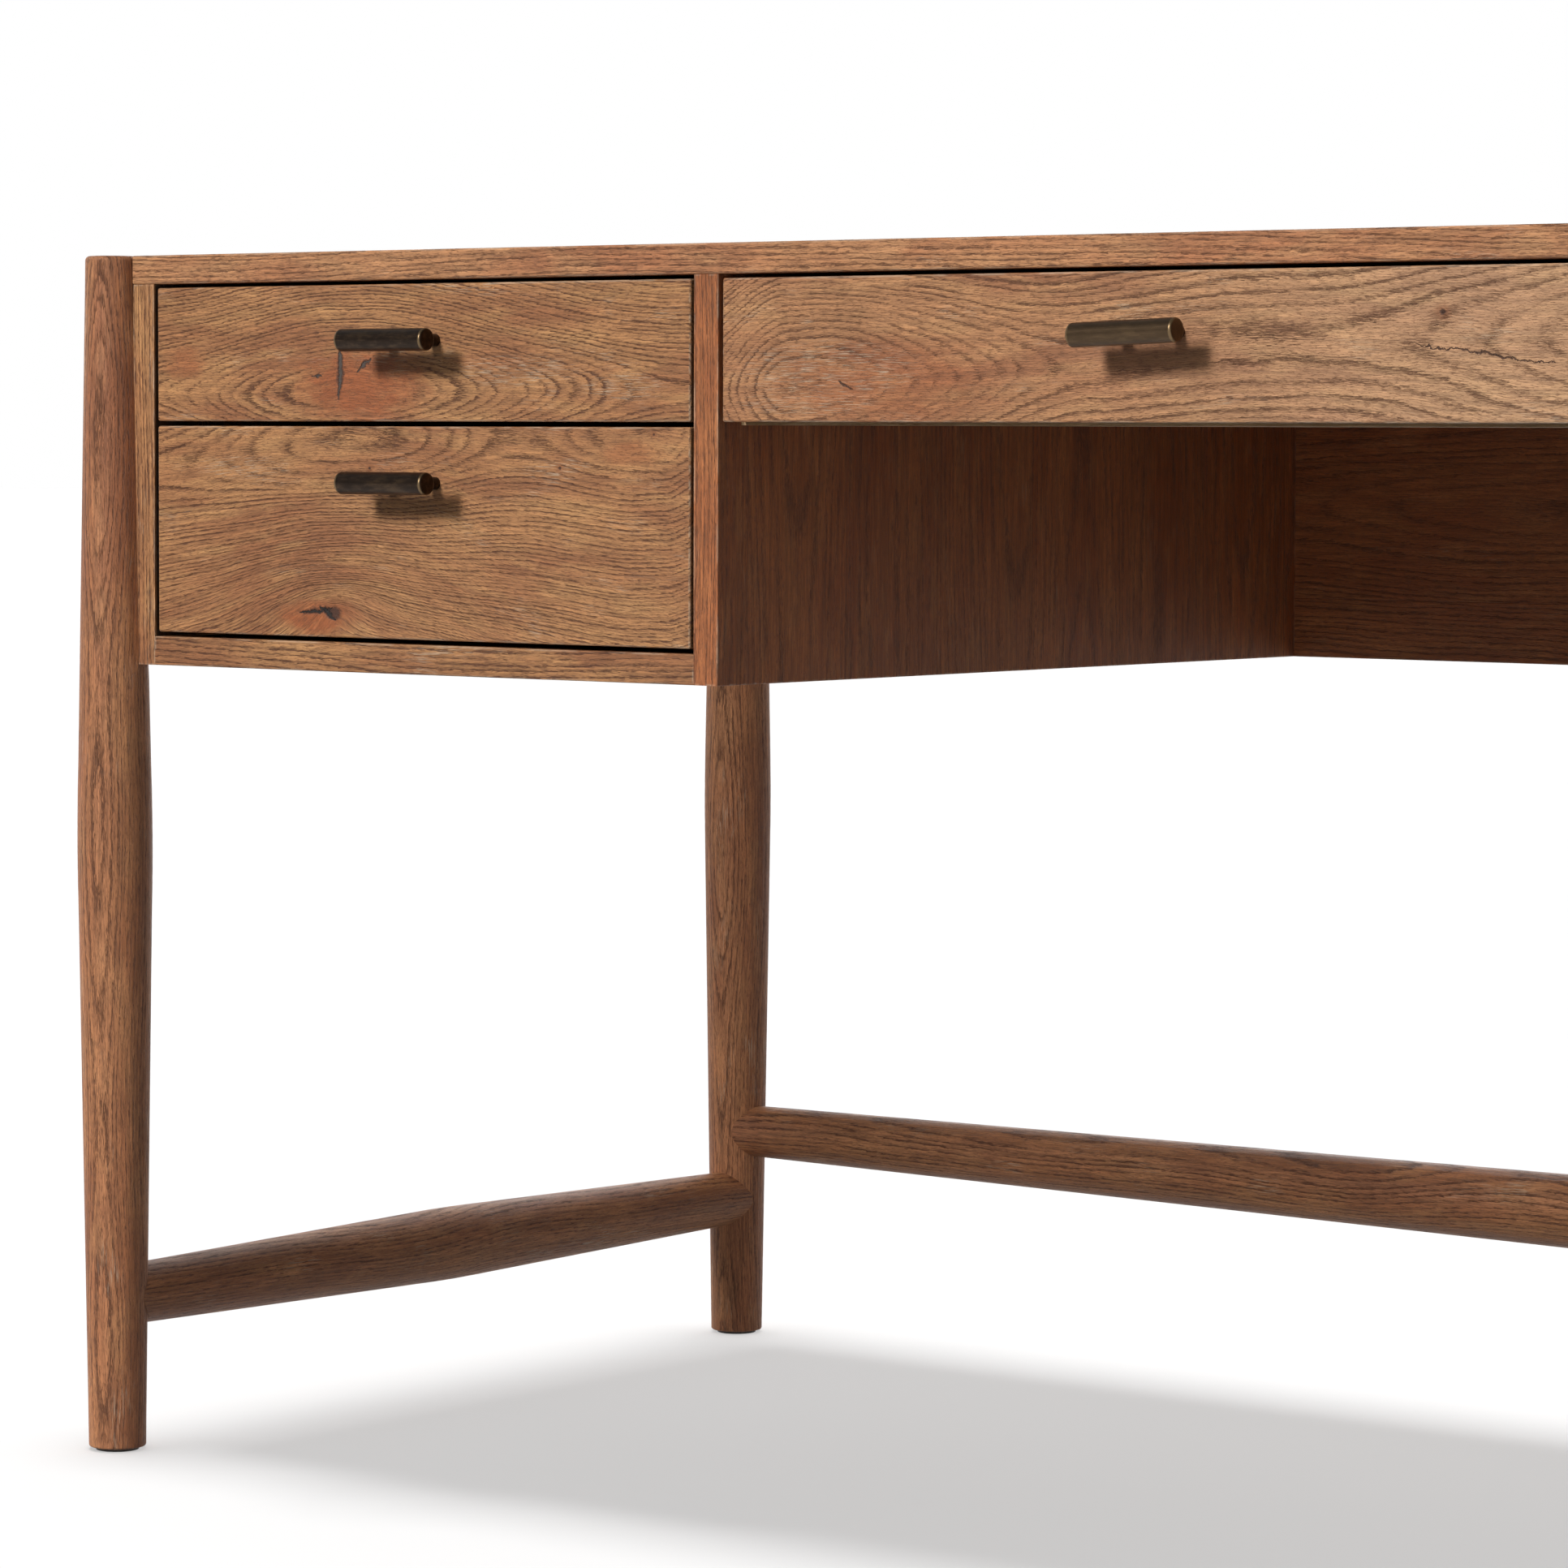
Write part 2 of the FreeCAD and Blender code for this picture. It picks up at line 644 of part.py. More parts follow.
def make_box_side(doc, label, side, half_box, box_top, groove, groove_top, depth):
    """One side, with the runner groove outside and the bottom's groove inside."""
    body = new_body(doc, label)
    section = new_sketch(body, "section", "XZ", "-board")
    middle = f"((box_lift + {box_top}) / 2)"
    runner_half = "(runner_height / 2 + runner_play)"
    outer = f"{side} * {half_box}"
    inner = f"{side} * ({half_box} - box_side)"
    inner_deep = f"{side} * ({half_box} - box_side + groove_deep)"
    outer_deep = f"{side} * ({half_box} - groove_deep)"
    draw_outline(section, [
        (outer, "box_lift"), (inner, "box_lift"),
        (inner, groove), (inner_deep, groove), (inner_deep, groove_top), (inner, groove_top),
        (inner, box_top), (outer, box_top),
        (outer, f"{middle} + {runner_half}"), (outer_deep, f"{middle} + {runner_half}"),
        (outer_deep, f"{middle} - {runner_half}"), (outer, f"{middle} - {runner_half}"),
    ])
    pad(body, "side_pad", section, depth, reverse=True)
    return body


def make_runners(doc, label, opening, box_top, depth):
    """The pair of case runners that one drawer hangs on."""
    rails = []
    for side in (-1, 1):
        rail = doc.addObject("Part::Box", f"{label}_rail")
        start = f"(-{opening} / 2)" if side < 0 else f"({opening} / 2 - runner_thick)"
        bind(rail, Length="runner_thick", Width=f"{depth} - runner_setback", Height="runner_height")
        place(rail, start, "runner_setback", f"(box_lift + {box_top}) / 2 - runner_height / 2")
        rails.append(rail)
    return group(doc, label, rails)


def make_pull(doc, label):
    """A round bar standing off the drawer front on two posts tapped for screws."""
    bar = doc.addObject("PartDesign::Body", f"{label}_bar")
    section = new_sketch(bar, "section", "YZ", "-bar_length / 2")
    draw_circles(section, [("-bar_reach", "0")], "bar_dia / 2")
    pad(bar, "rod", section, "bar_length")
    fillet(bar, "ends", "bar_round", lambda edge: isinstance(edge.Curve, Part.Circle))
    posts = []
    holes = []
    for side in (-1, 1):
        spot = f"{side} * post_spacing / 2"
        posts.append(cylinder(doc, f"{label}_post", "post_dia / 2", "bar_reach", 90, X_AXIS, x=spot))
        holes.append(cylinder(doc, f"{label}_tap", "screw_dia / 2 + screw_gap",
                              "screw_depth + tap_spare", 90, X_AXIS, x=spot))
    joined = doc.addObject("Part::MultiFuse", f"{label}_joined")
    joined.Shapes = [bar, *posts]
    taps = doc.addObject("Part::MultiFuse", f"{label}_taps")
    taps.Shapes = holes
    pull = doc.addObject("Part::Cut", label)
    pull.Label = label
    pull.Base = joined
    pull.Tool = taps
    return pull


def make_pull_screws(doc, label):
    screws = []
    for side in (-1, 1):
        spot = f"{side} * post_spacing / 2"
        shank = cylinder(doc, f"{label}_shank", "screw_dia / 2", "board + screw_depth + screw_head",
                         90, X_AXIS, x=spot, y="board + screw_head")
        head = cylinder(doc, f"{label}_head", "screw_head_dia / 2", "screw_head",
                        90, X_AXIS, x=spot, y="board + screw_head")
        screw = doc.addObject("Part::Fuse", f"{label}_screw")
        screw.Base = shank
        screw.Tool = head
        screws.append(screw)
    return group(doc, label, screws)


# ---------------------------------------------------------------- build and export

def check(doc, nodes):
    for item in doc.Objects:
        if "Invalid" in item.State or "Error" in item.State:
            raise RuntimeError(f"{item.Label} failed: {item.State}")
    for node in nodes:
        if node.Shape.isNull() or not node.Shape.isValid() or not node.Shape.Solids:
            raise RuntimeError(f"{node.Label} has no valid solid")


def main():
    doc = FreeCAD.newDocument("writing_desk")
    make_sheet(doc)
    nodes = [make_leg(doc, corner, **leg) for corner, leg in LEGS.items()]
    nodes += make_stretchers(doc)
    nodes += [make_glides(doc), make_bolts(doc)]
    nodes += make_case(doc)
    for name, drawer in DRAWERS.items():
        nodes += make_drawer(doc, name, **drawer)
    doc.recompute()
    check(doc, nodes)
    os.makedirs("parts", exist_ok=True)
    for node in nodes:
        node.Shape.exportStep(f"parts/{node.Label}.step")
        print(f"{node.Label}: {len(node.Shape.Solids)} solid(s), {node.Shape.Volume / 1000:.1f} cm3")
    print(len(nodes), "nodes")


main()
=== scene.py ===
"""Looks of the writing desk: procedural oak, bronze and small hardware on the CAD pieces, and the studio.

Lengths inside the materials are in millimetres of the row frame, and everything else is in metres.
"""

import math

import bpy  # noqa: E402
from mathutils import Matrix, Vector  # noqa: E402


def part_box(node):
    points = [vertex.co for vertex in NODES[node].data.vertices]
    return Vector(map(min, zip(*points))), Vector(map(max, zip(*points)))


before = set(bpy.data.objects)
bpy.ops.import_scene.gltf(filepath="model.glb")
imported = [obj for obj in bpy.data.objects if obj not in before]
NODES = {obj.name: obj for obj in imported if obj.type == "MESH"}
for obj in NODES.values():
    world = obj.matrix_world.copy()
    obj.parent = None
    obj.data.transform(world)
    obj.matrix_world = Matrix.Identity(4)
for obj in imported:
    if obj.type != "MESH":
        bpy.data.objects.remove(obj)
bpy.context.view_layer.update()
MM = 1000.0


def linear(red, green, blue):
    """A screen colour, 0 to 255 each, as the linear colour a shader takes."""
    parts = [v / 255.0 for v in (red, green, blue)]
    return tuple(v / 12.92 if v <= 0.04045 else ((v + 0.055) / 1.055) ** 2.4 for v in parts) + (1.0,)


# ---------------------------------------------------------------- node graphs


class Field:
    """A number that varies over a surface, with arithmetic."""

    def __init__(self, graph, socket):
        self.graph = graph
        self.socket = socket

    def __add__(self, other):
        return self.graph.math("ADD", self, other)

    def __sub__(self, other):
        return self.graph.math("SUBTRACT", self, other)

    def __rsub__(self, other):
        return self.graph.math("SUBTRACT", other, self)

    def __mul__(self, other):
        return self.graph.math("MULTIPLY", self, other)

    def __truediv__(self, other):
        return self.graph.math("DIVIDE", self, other)

    def __rtruediv__(self, other):
        return self.graph.math("DIVIDE", other, self)

    def __abs__(self):
        return self.graph.math("ABSOLUTE", self)

    __radd__ = __add__
    __rmul__ = __mul__


class Graph:
    """One material's node tree."""

    def __init__(self, name):
        self.material = bpy.data.materials.new(name)
        self.material.use_nodes = True
        self.tree = self.material.node_tree
        self.tree.nodes.clear()

    def node(self, kind, **settings):
        made = self.tree.nodes.new("ShaderNode" + kind)
        for key, value in settings.items():
            setattr(made, key, value)
        return made

    def put(self, value, socket):
        if isinstance(value, Field):
            self.tree.links.new(value.socket, socket)
        else:
            socket.default_value = value

    def math(self, kind, *values):
        made = self.node("Math", operation=kind)
        for value, socket in zip(values, made.inputs):
            self.put(value, socket)
        return Field(self, made.outputs[0])

    def place(self):
        """X, Y and Z in the row frame, in millimetres, riding with the piece."""
        scale = self.node("VectorMath", operation="SCALE")
        scale.inputs["Scale"].default_value = MM
        self.tree.links.new(self.node("TexCoord").outputs["Object"], scale.inputs[0])
        parts = self.node("SeparateXYZ")
        self.tree.links.new(scale.outputs[0], parts.inputs[0])
        return {axis: Field(self, parts.outputs[axis]) for axis in "XYZ"}

    def point(self, x, y, z):
        made = self.node("CombineXYZ")
        for value, socket in zip((x, y, z), made.inputs):
            self.put(value, socket)
        return Field(self, made.outputs[0])

    def noise(self, x, y, z, detail=2.0, rough=0.5):
        """Noise from 0 to 1 with features about one unit across."""
        return Field(self, self.noise_node(x, y, z, detail, rough).outputs[0])

    def noises(self, x, y, z, detail=2.0, rough=0.5):
        """Three noises like that, each different from the others."""
        return self.split(self.noise_node(x, y, z, detail, rough).outputs["Color"])

    def noise_node(self, x, y, z, detail, rough):
        made = self.node("TexNoise", noise_dimensions="3D")
        self.put(self.point(x, y, z), made.inputs["Vector"])
        made.inputs["Scale"].default_value = 1.0
        made.inputs["Detail"].default_value = detail
        made.inputs["Roughness"].default_value = rough
        return made

    def split(self, socket):
        parts = self.node("SeparateColor")
        self.tree.links.new(socket, parts.inputs[0])
        return [Field(self, out) for out in parts.outputs]

    def chance(self, value):
        """Three steady random numbers for each whole value."""
        made = self.node("TexWhiteNoise", noise_dimensions="1D")
        self.put(value, made.inputs["W"])
        return self.split(made.outputs["Color"])

    def smooth(self, value, low, high, start=0.0, end=1.0):
        """A soft step from start to end while the value goes from low to high."""
        made = self.node("MapRange", interpolation_type="SMOOTHSTEP")
        self.put(value, made.inputs["Value"])
        self.put(low, made.inputs["From Min"])
        self.put(high, made.inputs["From Max"])
        self.put(start, made.inputs["To Min"])
        self.put(end, made.inputs["To Max"])
        return Field(self, made.outputs[0])

    def mix(self, share, one, two, blend="MIX"):
        """A mix of two colours. The Mix node has sockets for each kind of value: these are the colours'."""
        made = self.node("Mix", data_type="RGBA", blend_type=blend)
        self.put(share, made.inputs[0])
        self.put(one, made.inputs[6])
        self.put(two, made.inputs[7])
        return Field(self, made.outputs[2])

    def tint(self, share, colour, screen_colour):
        """The colour with a share of a screen colour mixed in."""
        return self.mix(share, colour, linear(*screen_colour))

    def grey(self, value):
        return self.point(value, value, value)

    def edge(self, place, box):
        """Distance in millimetres to the nearest edge of a box."""
        near = []
        for axis, low, high in zip("XYZ", *box):
            middle = (low + high) / 2 * MM
            half = (high - low) / 2 * MM
            near.append(half - abs(place[axis] - middle))
        low = self.math("MINIMUM", *near[:2])
        high = self.math("MAXIMUM", *near[:2])
        return self.math("MAXIMUM", low, self.math("MINIMUM", high, near[2]))

    def surface(self, colour, rough, height, relief, **sockets):
        """Ends the tree in a Principled shader with a bump of that relief in millimetres."""
        shader = self.node("BsdfPrincipled")
        self.put(colour, shader.inputs["Base Color"])
        self.put(rough, shader.inputs["Roughness"])
        for key, value in sockets.items():
            shader.inputs[key.replace("_", " ")].default_value = value
        bump = self.node("Bump")
        bump.inputs["Strength"].default_value = 1.0
        bump.inputs["Distance"].default_value = relief / MM
        self.put(height, bump.inputs["Height"])
        self.tree.links.new(bump.outputs[0], shader.inputs["Normal"])
        self.tree.links.new(shader.outputs[0], self.node("OutputMaterial").inputs["Surface"])
        return self.material


# ---------------------------------------------------------------- wood

# Screen colours, and how much of each is mixed in. relief is in millimetres.
OAK = {
    "red": (152, 100, 64),
    "tan": (174, 124, 80),
    "gold": (190, 142, 92),
    "line": (90, 54, 38),
    "pore": (108, 70, 48),
    "lime": (212, 192, 166),
    "knot": (52, 29, 19),
    "line_share": 0.8,
    "ring_share": 0.42,
    "pore_share": 0.6,
    "lime_share": 0.4,
    "wear": 0.35,
    "relief": 0.5,
    "rough": 0.56,
}
HALO = (150, 84, 48)
KNOT_HALO = (140, 82, 48)
BLEACHED = (212, 178, 140)
CRACK_RIM = (58, 34, 24)
CRACK = (52, 44, 40)
# painted shade in the narrow gap between a case side and its drawers
REVEAL_PAINTED_SHADE = (30, 20, 14)

RING_UNEVEN = 1.6  # how far ring widths vary, in rings
RING_FEATHER = 1.1  # how far pores comb a ring's edge out along the grain, in rings
CRACK_WANDER = 9.0  # millimetres that a crack strays from straight


def streaks(g, grain, length, width, offset=0.0, depth=None, detail=2.0, rough=0.5):
    """Noise drawn out along the grain, with that length and width, in millimetres."""
    along, across, deep = grain
    inward = deep * (1 / (depth or width)) + offset
    return g.noise(along * (1 / length), across * (1 / width), inward, detail, rough)


def spot(along, across, middle_along, middle_across, reach_along, reach_across):
    """The square of a point's distance from a spot's middle, where 1 is the spot's rim."""
    far = (along - middle_along) * (1 / reach_along)
    side = (across - middle_across) * (1 / reach_across)
    return far * far + side * side


def bend_round_knots(along, flow, knots):
    """The coordinate across the grain, pushed aside by each knot."""
    bump = None
    for middle, height, reach_along, reach_across, push, *_ in knots:
        lift = push / (spot(along, flow, middle, height, reach_along, reach_across) + 1.0)
        bump = lift if bump is None else bump + lift
    return flow if bump is None else flow - bump


def ring_field(g, along, across, deep, figure):
    """Growth rings: their running number at a point, and the coordinate across the grain bent round knots.

    The rings are arcs round a pith that lies the curve's length behind the face. Steps add or take away
    rings along the board, which closes them into eyes and cathedrals.
    """
    seed = figure["seed"]
    warp = g.noises(along * (1 / 150.0), across * (1 / 42.0), deep * (1 / 42.0) + seed, detail=3.0)
    flow = across + (warp[0] - 0.5) * figure["warp"]
    inside = deep + (warp[1] - 0.5) * figure["warp"] * 0.5
    flow = bend_round_knots(along, flow, figure.get("knots", ()))
    curve = figure["curve"]
    if isinstance(curve, tuple):
        start, curve_there, end, curve_here = curve
        curve = g.smooth(along, start, end, curve_there, curve_here)
    rise = (along - figure.get("start", 0.0)) * figure.get("slope", 0.0)
    height = flow - figure["pith"] - rise
    depth = inside + curve
    radius = g.math("SQRT", height * height + depth * depth) - curve
    rings = radius * (1.0 / figure["ring"])
    for low, high, count in figure.get("steps", ()):
        rings = rings + g.smooth(along, low, high, 0.0, count)
    if "drift" in figure:
        length, count = figure["drift"]
        rings = rings + (g.noise(along * (1 / length), seed + 5.0, 0.0, detail=1.0) - 0.5) * count
    uneven = g.noise(rings * 0.45, seed + 2.0, 0.0, detail=1.0)
    return rings + (uneven - 0.5) * RING_UNEVEN, flow


def ring_lines(g, rings, along, flow):
    """The dark early band of each ring: sharp on one side, fading on the other, and uneven between rings."""
    phase = g.math("FRACT", rings)
    whole = g.math("FLOOR", rings)
    band = g.smooth(phase, 0.0, 0.14) * g.math("EXPONENT", phase * -3.0) * 1.4
    strength = g.chance(whole)[0] * 0.45 + 0.7
    broken = g.noise(along * (1 / 45.0), flow * (1 / 12.0), whole)
    return band * strength * g.smooth(broken, 0.3, 0.55, 0.5, 1.1)


def halo_field(g, along, across, lines, figure):
    """Warm swirled patches, where the ring lines give way to curls: the new lines and the patches' share."""
    halo = None
    for middle, height, reach_along, reach_across, share in figure.get("halos", ()):
        offset = figure["seed"] + 13.0
        swirl = g.noise(along * (1 / 16.0), across * (1 / 9.0), offset, detail=3.0, rough=0.6)
        reach = spot(along, across, middle, height, reach_along, reach_across) + (swirl - 0.5) * 1.4
        here = g.smooth(reach, 1.1, 0.0, 0.0, share)
        turns = g.math("SQRT", g.math("MAXIMUM", reach, 0.0)) * (reach_across * 2.2)
        curl = g.math("SINE", turns) * here
        lines = lines * (1.0 - here * 0.9) + g.smooth(curl, 0.2, 0.9) * 0.3
        halo = here if halo is None else g.math("MAXIMUM", halo, here)
    return lines, halo


def crack_mask(g, along, across, crack):
    """A ragged split from one point to another: (line, rim) masks."""
    start_along, start_across, end_along, end_across, wide = crack
    wander = g.noises(along * 0.12, across * 0.12, 3.3, detail=4.0, rough=0.65)
    u = along - start_along + (wander[0] - 0.5) * CRACK_WANDER
    v = across - start_across + (wander[1] - 0.5) * CRACK_WANDER
    du = end_along - start_along
    dv = end_across - start_across
    squared = du * du + dv * dv
    share = u * (du / squared) + v * (dv / squared)
    share = g.math("MINIMUM", g.math("MAXIMUM", share, 0.0), 1.0)
    off_u = u - share * du
    off_v = v - share * dv
    away = g.math("SQRT", off_u * off_u + off_v * off_v)
    width = (1.05 - abs(share - 0.5) * 1.5) * wide
    return g.smooth(away, width, width * 0.45), g.smooth(away, width * 2.2, width * 0.9)


def add_knots(g, along, across, figure, tone, colour, height):
    """A dark heart with a warm rim for each knot that has a core."""
    for knot in figure.get("knots", ()):
        if len(knot) < 6:
            continue
        middle, middle_height, *_, core = knot
        u = (along - middle) * (1 / core)
        v = (across - middle_height) * (1.25 / core)
        spread = g.noise(u * 1.6, v * 1.6, figure["seed"], detail=3.0, rough=0.6)
        away = g.math("SQRT", u * u + v * v) + (spread - 0.5) * 0.9
        heart = g.smooth(away, 1.0, 0.45)
        colour = g.tint(g.smooth(away, 3.2, 0.6) * 0.45, colour, KNOT_HALO)
        colour = g.tint(heart * 0.9, colour, tone["knot"])
        height = height - heart * 0.7
    return colour, height


def add_cracks(g, along, across, figure, colour, height):
    for crack in figure.get("cracks", ()):
        line, rim = crack_mask(g, along, across, crack)
        colour = g.tint(rim * 0.75, colour, CRACK_RIM)
        colour = g.tint(line, colour, figure.get("crack_colour", CRACK))
        height = height - line * 2.2 - rim * 0.4
    return colour, height


def add_reveal_painted_shade(g, place, figure, colour):
    """Painted shade: darkens the face at figure["reveal"] just behind the front edge of a case side, in the
    narrow gap beside the drawers.
    """
    front = figure["front"]
    inner = g.smooth(abs(place["X"] - figure["reveal"]), 1.2, 0.3)
    reveal_shade = inner * g.smooth(place["Y"], front + 0.6, front + 2.0)
    reveal_shade = reveal_shade * g.smooth(place["Y"], front + 45.0, front + 25.0)
    return g.tint(reveal_shade * 0.92, colour, REVEAL_PAINTED_SHADE)


def in_planks(g, along, across, width, seed):
    """A board glued up from planks, each cut from another stretch of wood.

    Gives the coordinates along and across the plank, its brightness, and the distance from its middle.
    """
    share = across * (1 / width)
    number = g.math("FLOOR", share)
    draw = g.chance(number + seed)
    from_middle = abs(g.math("FRACT", share) - 0.5) * width
    across = (share - number - 0.5) * width + (draw[0] - 0.5) * width * 0.8
    along = along + draw[1] * 3000.0
    return along, across, draw[2] * 0.22 + 0.89, from_middle


def limed_patches(g, grain, across, figure):
    """Where the pores are filled with pale lime: here and there, and in the figure's own patches."""
    where = streaks(g, grain, length=60.0, width=20.0, offset=figure["seed"] + 9.0)
    limed = g.smooth(where, 0.56, 0.74)
    for patch in figure.get("limed", ()):
        limed = g.math("MAXIMUM", limed, g.smooth(spot(grain[0], across, *patch), 1.0, 0.2))
    pale = streaks(g, grain, length=14.0, width=0.6, offset=11.0, detail=1.0)
    return g.smooth(pale, 0.55, 0.64) * limed


def wood(name, axes, box, figure, **look):
    """An oiled, weathered board or turning. axes run along the grain, across it and into the wood."""
    tone = dict(OAK, **look)
    seed = figure["seed"]
    plank = figure.get("plank")
    g = Graph(name)
    place = g.place()
    along, across, deep = (place[axis] for axis in axes)
    if plank:
        along, across, plank_shade, from_middle = in_planks(g, along, across, plank, seed)
    deep = deep - figure.get("face", 0.0)
    rings, flow = ring_field(g, along, across, deep, figure)
    grain = (along, flow, deep)
    comb = streaks(g, grain, length=9.0, width=0.6, offset=seed * 2.0, rough=0.6)
    lines = ring_lines(g, rings + (comb - 0.5) * RING_FEATHER, along, flow)
    lines, halo = halo_field(g, along, across, lines, figure)

    dash = streaks(g, grain, length=6.5, width=0.55, offset=seed * 3.0, detail=1.5)
    fine = streaks(g, grain, length=5.0, width=0.6, rough=0.7)
    fibre = streaks(g, grain, length=20.0, width=0.9, offset=7.0, detail=4.0, rough=0.7)
    streak = streaks(g, grain, length=90.0, width=3.2, offset=seed + 6.0, rough=0.6)
    cloud = streaks(g, grain, length=150.0, width=34.0, offset=seed + 1.0, depth=40.0, detail=3.0)
    patch = streaks(g, grain, length=50.0, width=13.0, offset=seed + 4.0, depth=16.0)
    vessels = g.smooth(lines * 0.9 + (dash - 0.5) * 1.5, 0.44, 0.92)
    specks = g.smooth(fine + lines * 0.08, 0.54, 0.66)
    lime = limed_patches(g, grain, across, figure)

    colour = g.mix(g.smooth(cloud, 0.34, 0.62), linear(*tone["red"]), linear(*tone["tan"]))
    colour = g.tint(g.smooth(patch, 0.45, 0.75, 0.0, 0.6), colour, tone["gold"])
    if halo is not None:
        colour = g.tint(halo, colour, HALO)
    if "pale" in figure:
        start, end, share = figure["pale"]
        colour = g.tint(g.smooth(along, start, end, 0.0, share), colour, BLEACHED)
    shade = g.smooth(fibre, 0.30, 0.70, 0.70, 1.28) * g.smooth(streak, 0.3, 0.7, 0.84, 1.15)
    if plank:
        shade = shade * plank_shade
    colour = g.mix(1.0, colour, g.grey(shade), "MULTIPLY")
    colour = g.tint(lines * tone["ring_share"], colour, tone["line"])
    colour = g.tint(specks * tone["pore_share"], colour, tone["pore"])
    colour = g.tint(vessels * tone["line_share"], colour, tone["line"])
    colour = g.tint(lime * tone["lime_share"], colour, tone["lime"])

    height = 0.5 - vessels * 0.6 - specks * 0.25 - lines * 0.2 + fibre * 0.35 + lime * 0.15
    colour, height = add_knots(g, along, across, figure, tone, colour, height)
    colour, height = add_cracks(g, along, across, figure, colour, height)
    if plank:
        joint = g.smooth(from_middle, plank / 2 - 0.5, plank / 2)
        colour = g.tint(joint * 0.5, colour, tone["line"])
        height = height - joint * 0.5
    # painted shade in the gap between a case side and its drawers
    if "reveal" in figure:
        colour = add_reveal_painted_shade(g, place, figure, colour)

    rub = streaks(g, (along, across, deep), length=22.0, width=6.0)
    worn = g.smooth(g.edge(place, box), 1.5, 0.5) * g.smooth(rub, 0.4, 0.62)
    colour = g.tint(worn * tone["wear"], colour, tone["lime"])
    rough = tone["rough"] + (cloud - 0.5) * 0.12 + vessels * 0.12 - worn * 0.05
    return g.surface(colour, rough, height, tone["relief"], Specular_IOR_Level=0.35)


# ---------------------------------------------------------------- hardware

BRONZE_DARK = (38, 29, 23)
BRONZE_LIGHT = (54, 42, 34)
BRASS = (112, 90, 64)
BRASS_RIM_AND_HIGHLIGHT = (140, 116, 84)
NYLON = (40, 34, 30)
NYLON_SCUFFED = (64, 56, 50)


def bronze(name, box, rubbed):
    """Dark oiled bronze, brushed along the bar and rubbed towards brass in patches, with a brass ring at each
    end that is partly rubbed wear and partly a painted highlight.
    """
    g = Graph(name)
    place = g.place()
    bar = (place["X"], place["Y"], place["Z"])
    brush = streaks(g, bar, length=9.0, width=0.35, rough=0.6)
    cloud = streaks(g, bar, length=14.0, width=5.0, detail=3.0, rough=0.6)
    half = (box[1].x - box[0].x) / 2 * MM
    middle = (box[0].x + box[1].x) / 2 * MM
    from_end = half - abs(place["X"] - middle)
    # A brass ring just in from each end of the bar: rubbed wear and a painted highlight on the rounded edge.
    rim = g.smooth(from_end, 2.4, 1.5) * g.smooth(from_end, 0.2, 0.8)
    rub = g.smooth(cloud + (brush - 0.5) * 0.5, 0.46, 0.72)
    colour = g.mix(g.smooth(cloud, 0.3, 0.7), linear(*BRONZE_DARK), linear(*BRONZE_LIGHT))
    colour = g.tint(rub * 0.22 + rubbed, colour, BRASS)
    colour = g.tint(rim * 0.55, colour, BRASS_RIM_AND_HIGHLIGHT)
    rough = 0.37 - rub * 0.05 + (brush - 0.5) * 0.16
    return g.surface(colour, rough, brush * 0.6 + cloud * 0.4, 0.05, Metallic=0.9)


def mottle(g, place, per_mm, detail):
    """Noise that is alike in every direction, with that many features to a millimetre."""
    return g.noise(place["X"] * per_mm, place["Y"] * per_mm, place["Z"] * per_mm, detail)


def steel(name, light, dark, rough):
    """Plated or blackened steel with faint turning marks."""
    g = Graph(name)
    place = g.place()
    marks = mottle(g, place, 3.0, detail=3.0)
    stain = mottle(g, place, 0.3, detail=2.0)
    colour = g.mix(g.smooth(stain, 0.35, 0.7), linear(*light), linear(*dark))
    return g.surface(colour, rough + (marks - 0.5) * 0.2, marks, 0.03, Metallic=1.0)


def nylon(name):
    """Dark moulded glide, finely grained and scuffed."""
    g = Graph(name)
    place = g.place()
    grain = mottle(g, place, 2.2, detail=3.0)
    scuff = mottle(g, place, 0.25, detail=2.0)
    colour = g.mix(g.smooth(scuff, 0.4, 0.7), linear(*NYLON), linear(*NYLON_SCUFFED))
    return g.surface(colour, 0.5 + (grain - 0.5) * 0.2, grain, 0.04, Specular_IOR_Level=0.4)


# ---------------------------------------------------------------- which piece has which finish


def dress(node, material):
    for slot in NODES[node].material_slots:
        slot.material = material


def face_of(node, axis, far=False):
    """Where a piece's face is on an axis, in millimetres: its lower one, or its far one."""
    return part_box(node)[1 if far else 0]["XYZ".index(axis)] * MM


